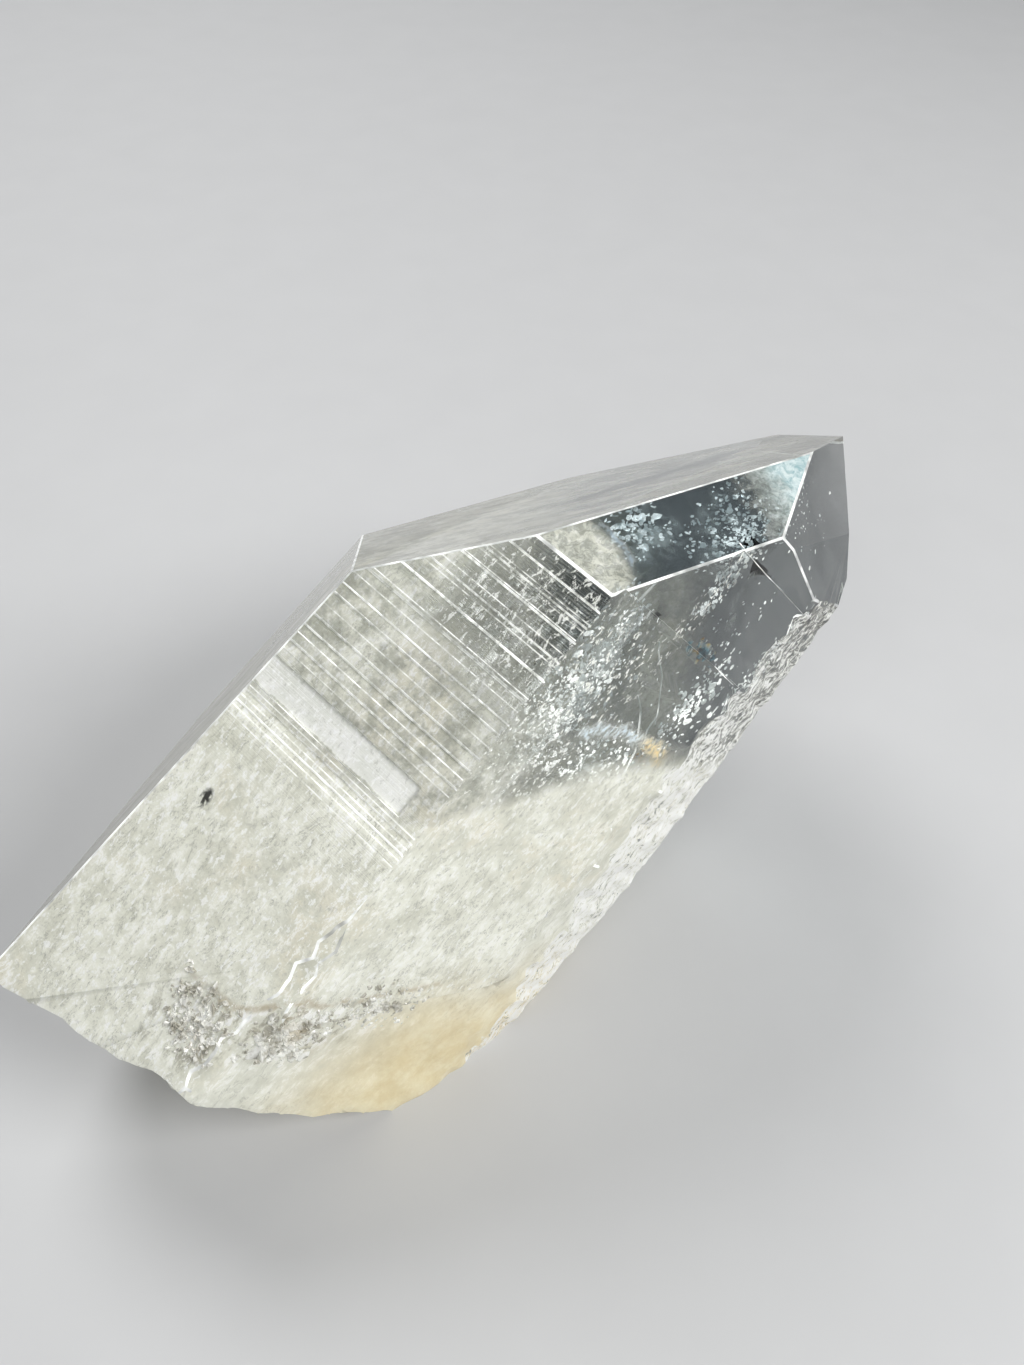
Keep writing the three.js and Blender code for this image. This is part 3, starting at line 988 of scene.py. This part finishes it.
def joined(name, pieces, material):
    bpy.ops.object.select_all(action="DESELECT")
    for piece in pieces:
        piece.select_set(True)
    bpy.context.view_layer.objects.active = pieces[0]
    bpy.ops.object.join()
    whole = bpy.context.object
    whole.name = name
    whole.data.materials.clear()
    whole.data.materials.append(material)
    whole.select_set(False)
    declare(whole)
    return whole


def placed_copy(shape, turn):
    """A piece with its own copy of a shape, turned and moved to its place."""
    mesh = shape.copy()
    mesh.transform(turn)
    piece = bpy.data.objects.new("copy", mesh)
    bpy.context.scene.collection.objects.link(piece)
    return piece


def turned_to(face, place, wobble):
    """A turn that lays a flat shape along a face at a place, with a wobble of its own."""
    across, up, out = face_axes(face)
    lie = Matrix((up, -across, out)).transposed().to_4x4()
    return Matrix.Translation(place) @ lie @ wobble.to_matrix().to_4x4()


def scatter(name, clusters, skin, material, seed):
    """Fills clusters inside the crystal with small flakes, most of them along its axis."""
    chance = random.Random(seed)
    shapes = [flake_shape(number) for number in range(5)]
    pieces = []
    for face, across, up, depth, count, size in clusters:
        for _ in range(count):
            spot = (chance.triangular(*across), chance.triangular(*up), chance.uniform(*depth))
            place = on_face(face, *spot)
            wobble = Euler((chance.gauss(0, 0.5), chance.gauss(0, 0.35), chance.gauss(0, 0.5)))
            length = size * chance.lognormvariate(0, 0.35)
            narrow = chance.uniform(0.35, 0.9)
            shape = chance.choice(shapes)
            if is_inside(skin, place, length * 0.6 * MM):
                stretch = Matrix.Diagonal((length, length * narrow, length, 1))
                pieces.append(placed_copy(shape, turned_to(face, place, wobble) @ stretch))
    return joined(name, pieces, material)


def lay_shards(name, clusters, skin, material, seed):
    """Covers parts of the crystal's skin with small blunt shards, half sunk in it."""
    chance = random.Random(seed)
    shapes = [flake_shape(number) for number in range(20, 25)]
    pieces = []
    for face, across, up, count, size in clusters:
        for _ in range(count):
            spot = on_face(face, chance.triangular(*across), chance.triangular(*up))
            place, normal, _, _ = skin.find_nearest(spot)
            wobble = Euler((chance.gauss(0, 0.35), chance.gauss(0, 0.25), chance.gauss(0, 0.7)))
            length = size * chance.lognormvariate(0, 0.35)
            stretch = Matrix.Diagonal((length, length * chance.uniform(0.35, 0.8), length * 3.0, 1))
            sunk = place - normal * (0.16 * length * MM)
            turn = turned_to(face, sunk, wobble) @ stretch
            pieces.append(placed_copy(chance.choice(shapes), turn))
    return joined(name, pieces, material)


def crack_sheet(face, points, depth, reach):
    """A thin curved sheet that starts under a face and runs along points on it."""
    places = [on_face(face, across, up, depth) for across, up in points]
    bpy.ops.mesh.primitive_plane_add(size=MM)
    sheet = bpy.context.object
    edit(sheet)
    bpy.ops.mesh.select_all(action="SELECT")
    bpy.ops.mesh.merge(type="CENTER")
    bpy.ops.transform.translate(value=places[0])
    for start, end in zip(places, places[1:]):
        bpy.ops.mesh.extrude_region_move(TRANSFORM_OT_translate={"value": end - start})
    bpy.ops.mesh.select_all(action="SELECT")
    inward = face_axes(face)[2] * (-reach * MM)
    bpy.ops.mesh.extrude_region_move(TRANSFORM_OT_translate={"value": inward})
    merge_doubles(0.01 * MM)
    bpy.ops.mesh.subdivide(number_cuts=2, smoothness=0.6)
    bpy.ops.mesh.normals_make_consistent(inside=False)
    close_edit(sheet)
    wall = sheet.modifiers.new("wall", "SOLIDIFY")
    wall.thickness = 0.05 * MM
    apply_modifiers(sheet)
    return sheet


def veil_sheet(skin, face, across, up, depth, width, length, tilt, wave_size):
    """A thin waved sheet inside the crystal, oval and fading at its rim."""
    bpy.ops.mesh.primitive_grid_add(x_subdivisions=28, y_subdivisions=28, size=1.0)
    sheet = bpy.context.object
    lie = turned_to(face, on_face(face, across, up, depth), Euler([math.radians(a) for a in tilt]))
    sheet.data.transform(lie @ Matrix.Diagonal((length * MM, width * MM, 1, 1)))
    clouds = bpy.data.textures.new("veil waves", "CLOUDS")
    clouds.noise_scale = wave_size * MM
    waves = sheet.modifiers.new("waves", "DISPLACE")
    waves.texture = clouds
    waves.texture_coords = "LOCAL"
    waves.strength = 3.5 * MM
    apply_modifiers(sheet)
    for vertex in sheet.data.vertices:
        if not is_inside(skin, vertex.co, VEIL_ROOM):
            nearest, normal, _, _ = skin.find_nearest(vertex.co)
            vertex.co = nearest - normal * VEIL_ROOM
    wall = sheet.modifiers.new("wall", "SOLIDIFY")
    wall.thickness = 0.03 * MM
    apply_modifiers(sheet)
    return sheet


def make_floor():
    """The pale floor that the crystal rests on."""
    bpy.ops.mesh.primitive_plane_add(size=FLOOR_SIZE)
    floor = bpy.context.object
    floor.name = "floor"
    m = Material("pale floor")
    grain = m.noise(60.0, 3.0)
    colour = m.blend(grain, rgb(0.56, 0.563, 0.566), rgb(0.59, 0.593, 0.596))
    floor.data.materials.append(m.finish(m.principled({"Base Color": colour, "Roughness": 0.6})))
    floor.select_set(False)


def make_light(name, place, size, power):
    """One soft round lamp that points at the crystal."""
    data = bpy.data.lights.new(name, "AREA")
    data.shape = "DISK"
    data.size = size
    data.energy = power
    lamp = bpy.data.objects.new(name, data)
    lamp.location = place
    lamp.rotation_euler = (Vector(LAMP_AIM) - Vector(place)).to_track_quat("-Z", "Y").to_euler()
    bpy.context.scene.collection.objects.link(lamp)


def make_world():
    """The dim even light of the studio."""
    world = bpy.data.worlds.new("studio")
    world.use_nodes = True
    background = world.node_tree.nodes["Background"]
    background.inputs["Color"].default_value = rgb(0.055, 0.06, 0.065)
    background.inputs["Strength"].default_value = 1.0
    bpy.context.scene.world = world
    bpy.context.scene.view_settings.view_transform = "Standard"


def make_camera():
    """The camera, where the photograph's was."""
    data = bpy.data.cameras.new("camera")
    data.lens = CAMERA_LENS
    data.sensor_width = 36.0
    data.clip_start = 0.005
    camera = bpy.data.objects.new("camera", data)
    camera.location = CAMERA_PLACE * MM
    camera.rotation_euler = (math.radians(90 - CAMERA_DOWN), 0, 0)
    bpy.context.scene.collection.objects.link(camera)
    bpy.context.scene.camera = camera


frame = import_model()
bpy.ops.object.select_all(action="DESELECT")

make_camera()
make_world()
make_floor()
for lamp in LAMPS:
    make_light(*lamp)

crystal = make_crystal()
skin = BVHTree.FromObject(crystal, bpy.context.evaluated_depsgraph_get())
scatter("inner_flakes", FLAKE_CLUSTERS, skin, fracture_with_painted_shine(), 11)
scatter("dark_specks", DARK_SPECKS, skin, dark_speck(), 12)
joined("cracks", [crack_sheet(*crack) for crack in CRACKS], fracture_with_painted_shine())
joined("veils", [veil_sheet(skin, *veil) for veil in VEILS], inner_veil())
scatter("rainbow_fractures", RAINBOW_CLUSTERS, skin, rainbow_fracture(), 13)
lay_shards("rough_shards", SHARD_CLUSTERS, skin, crumbled_quartz(), 14)
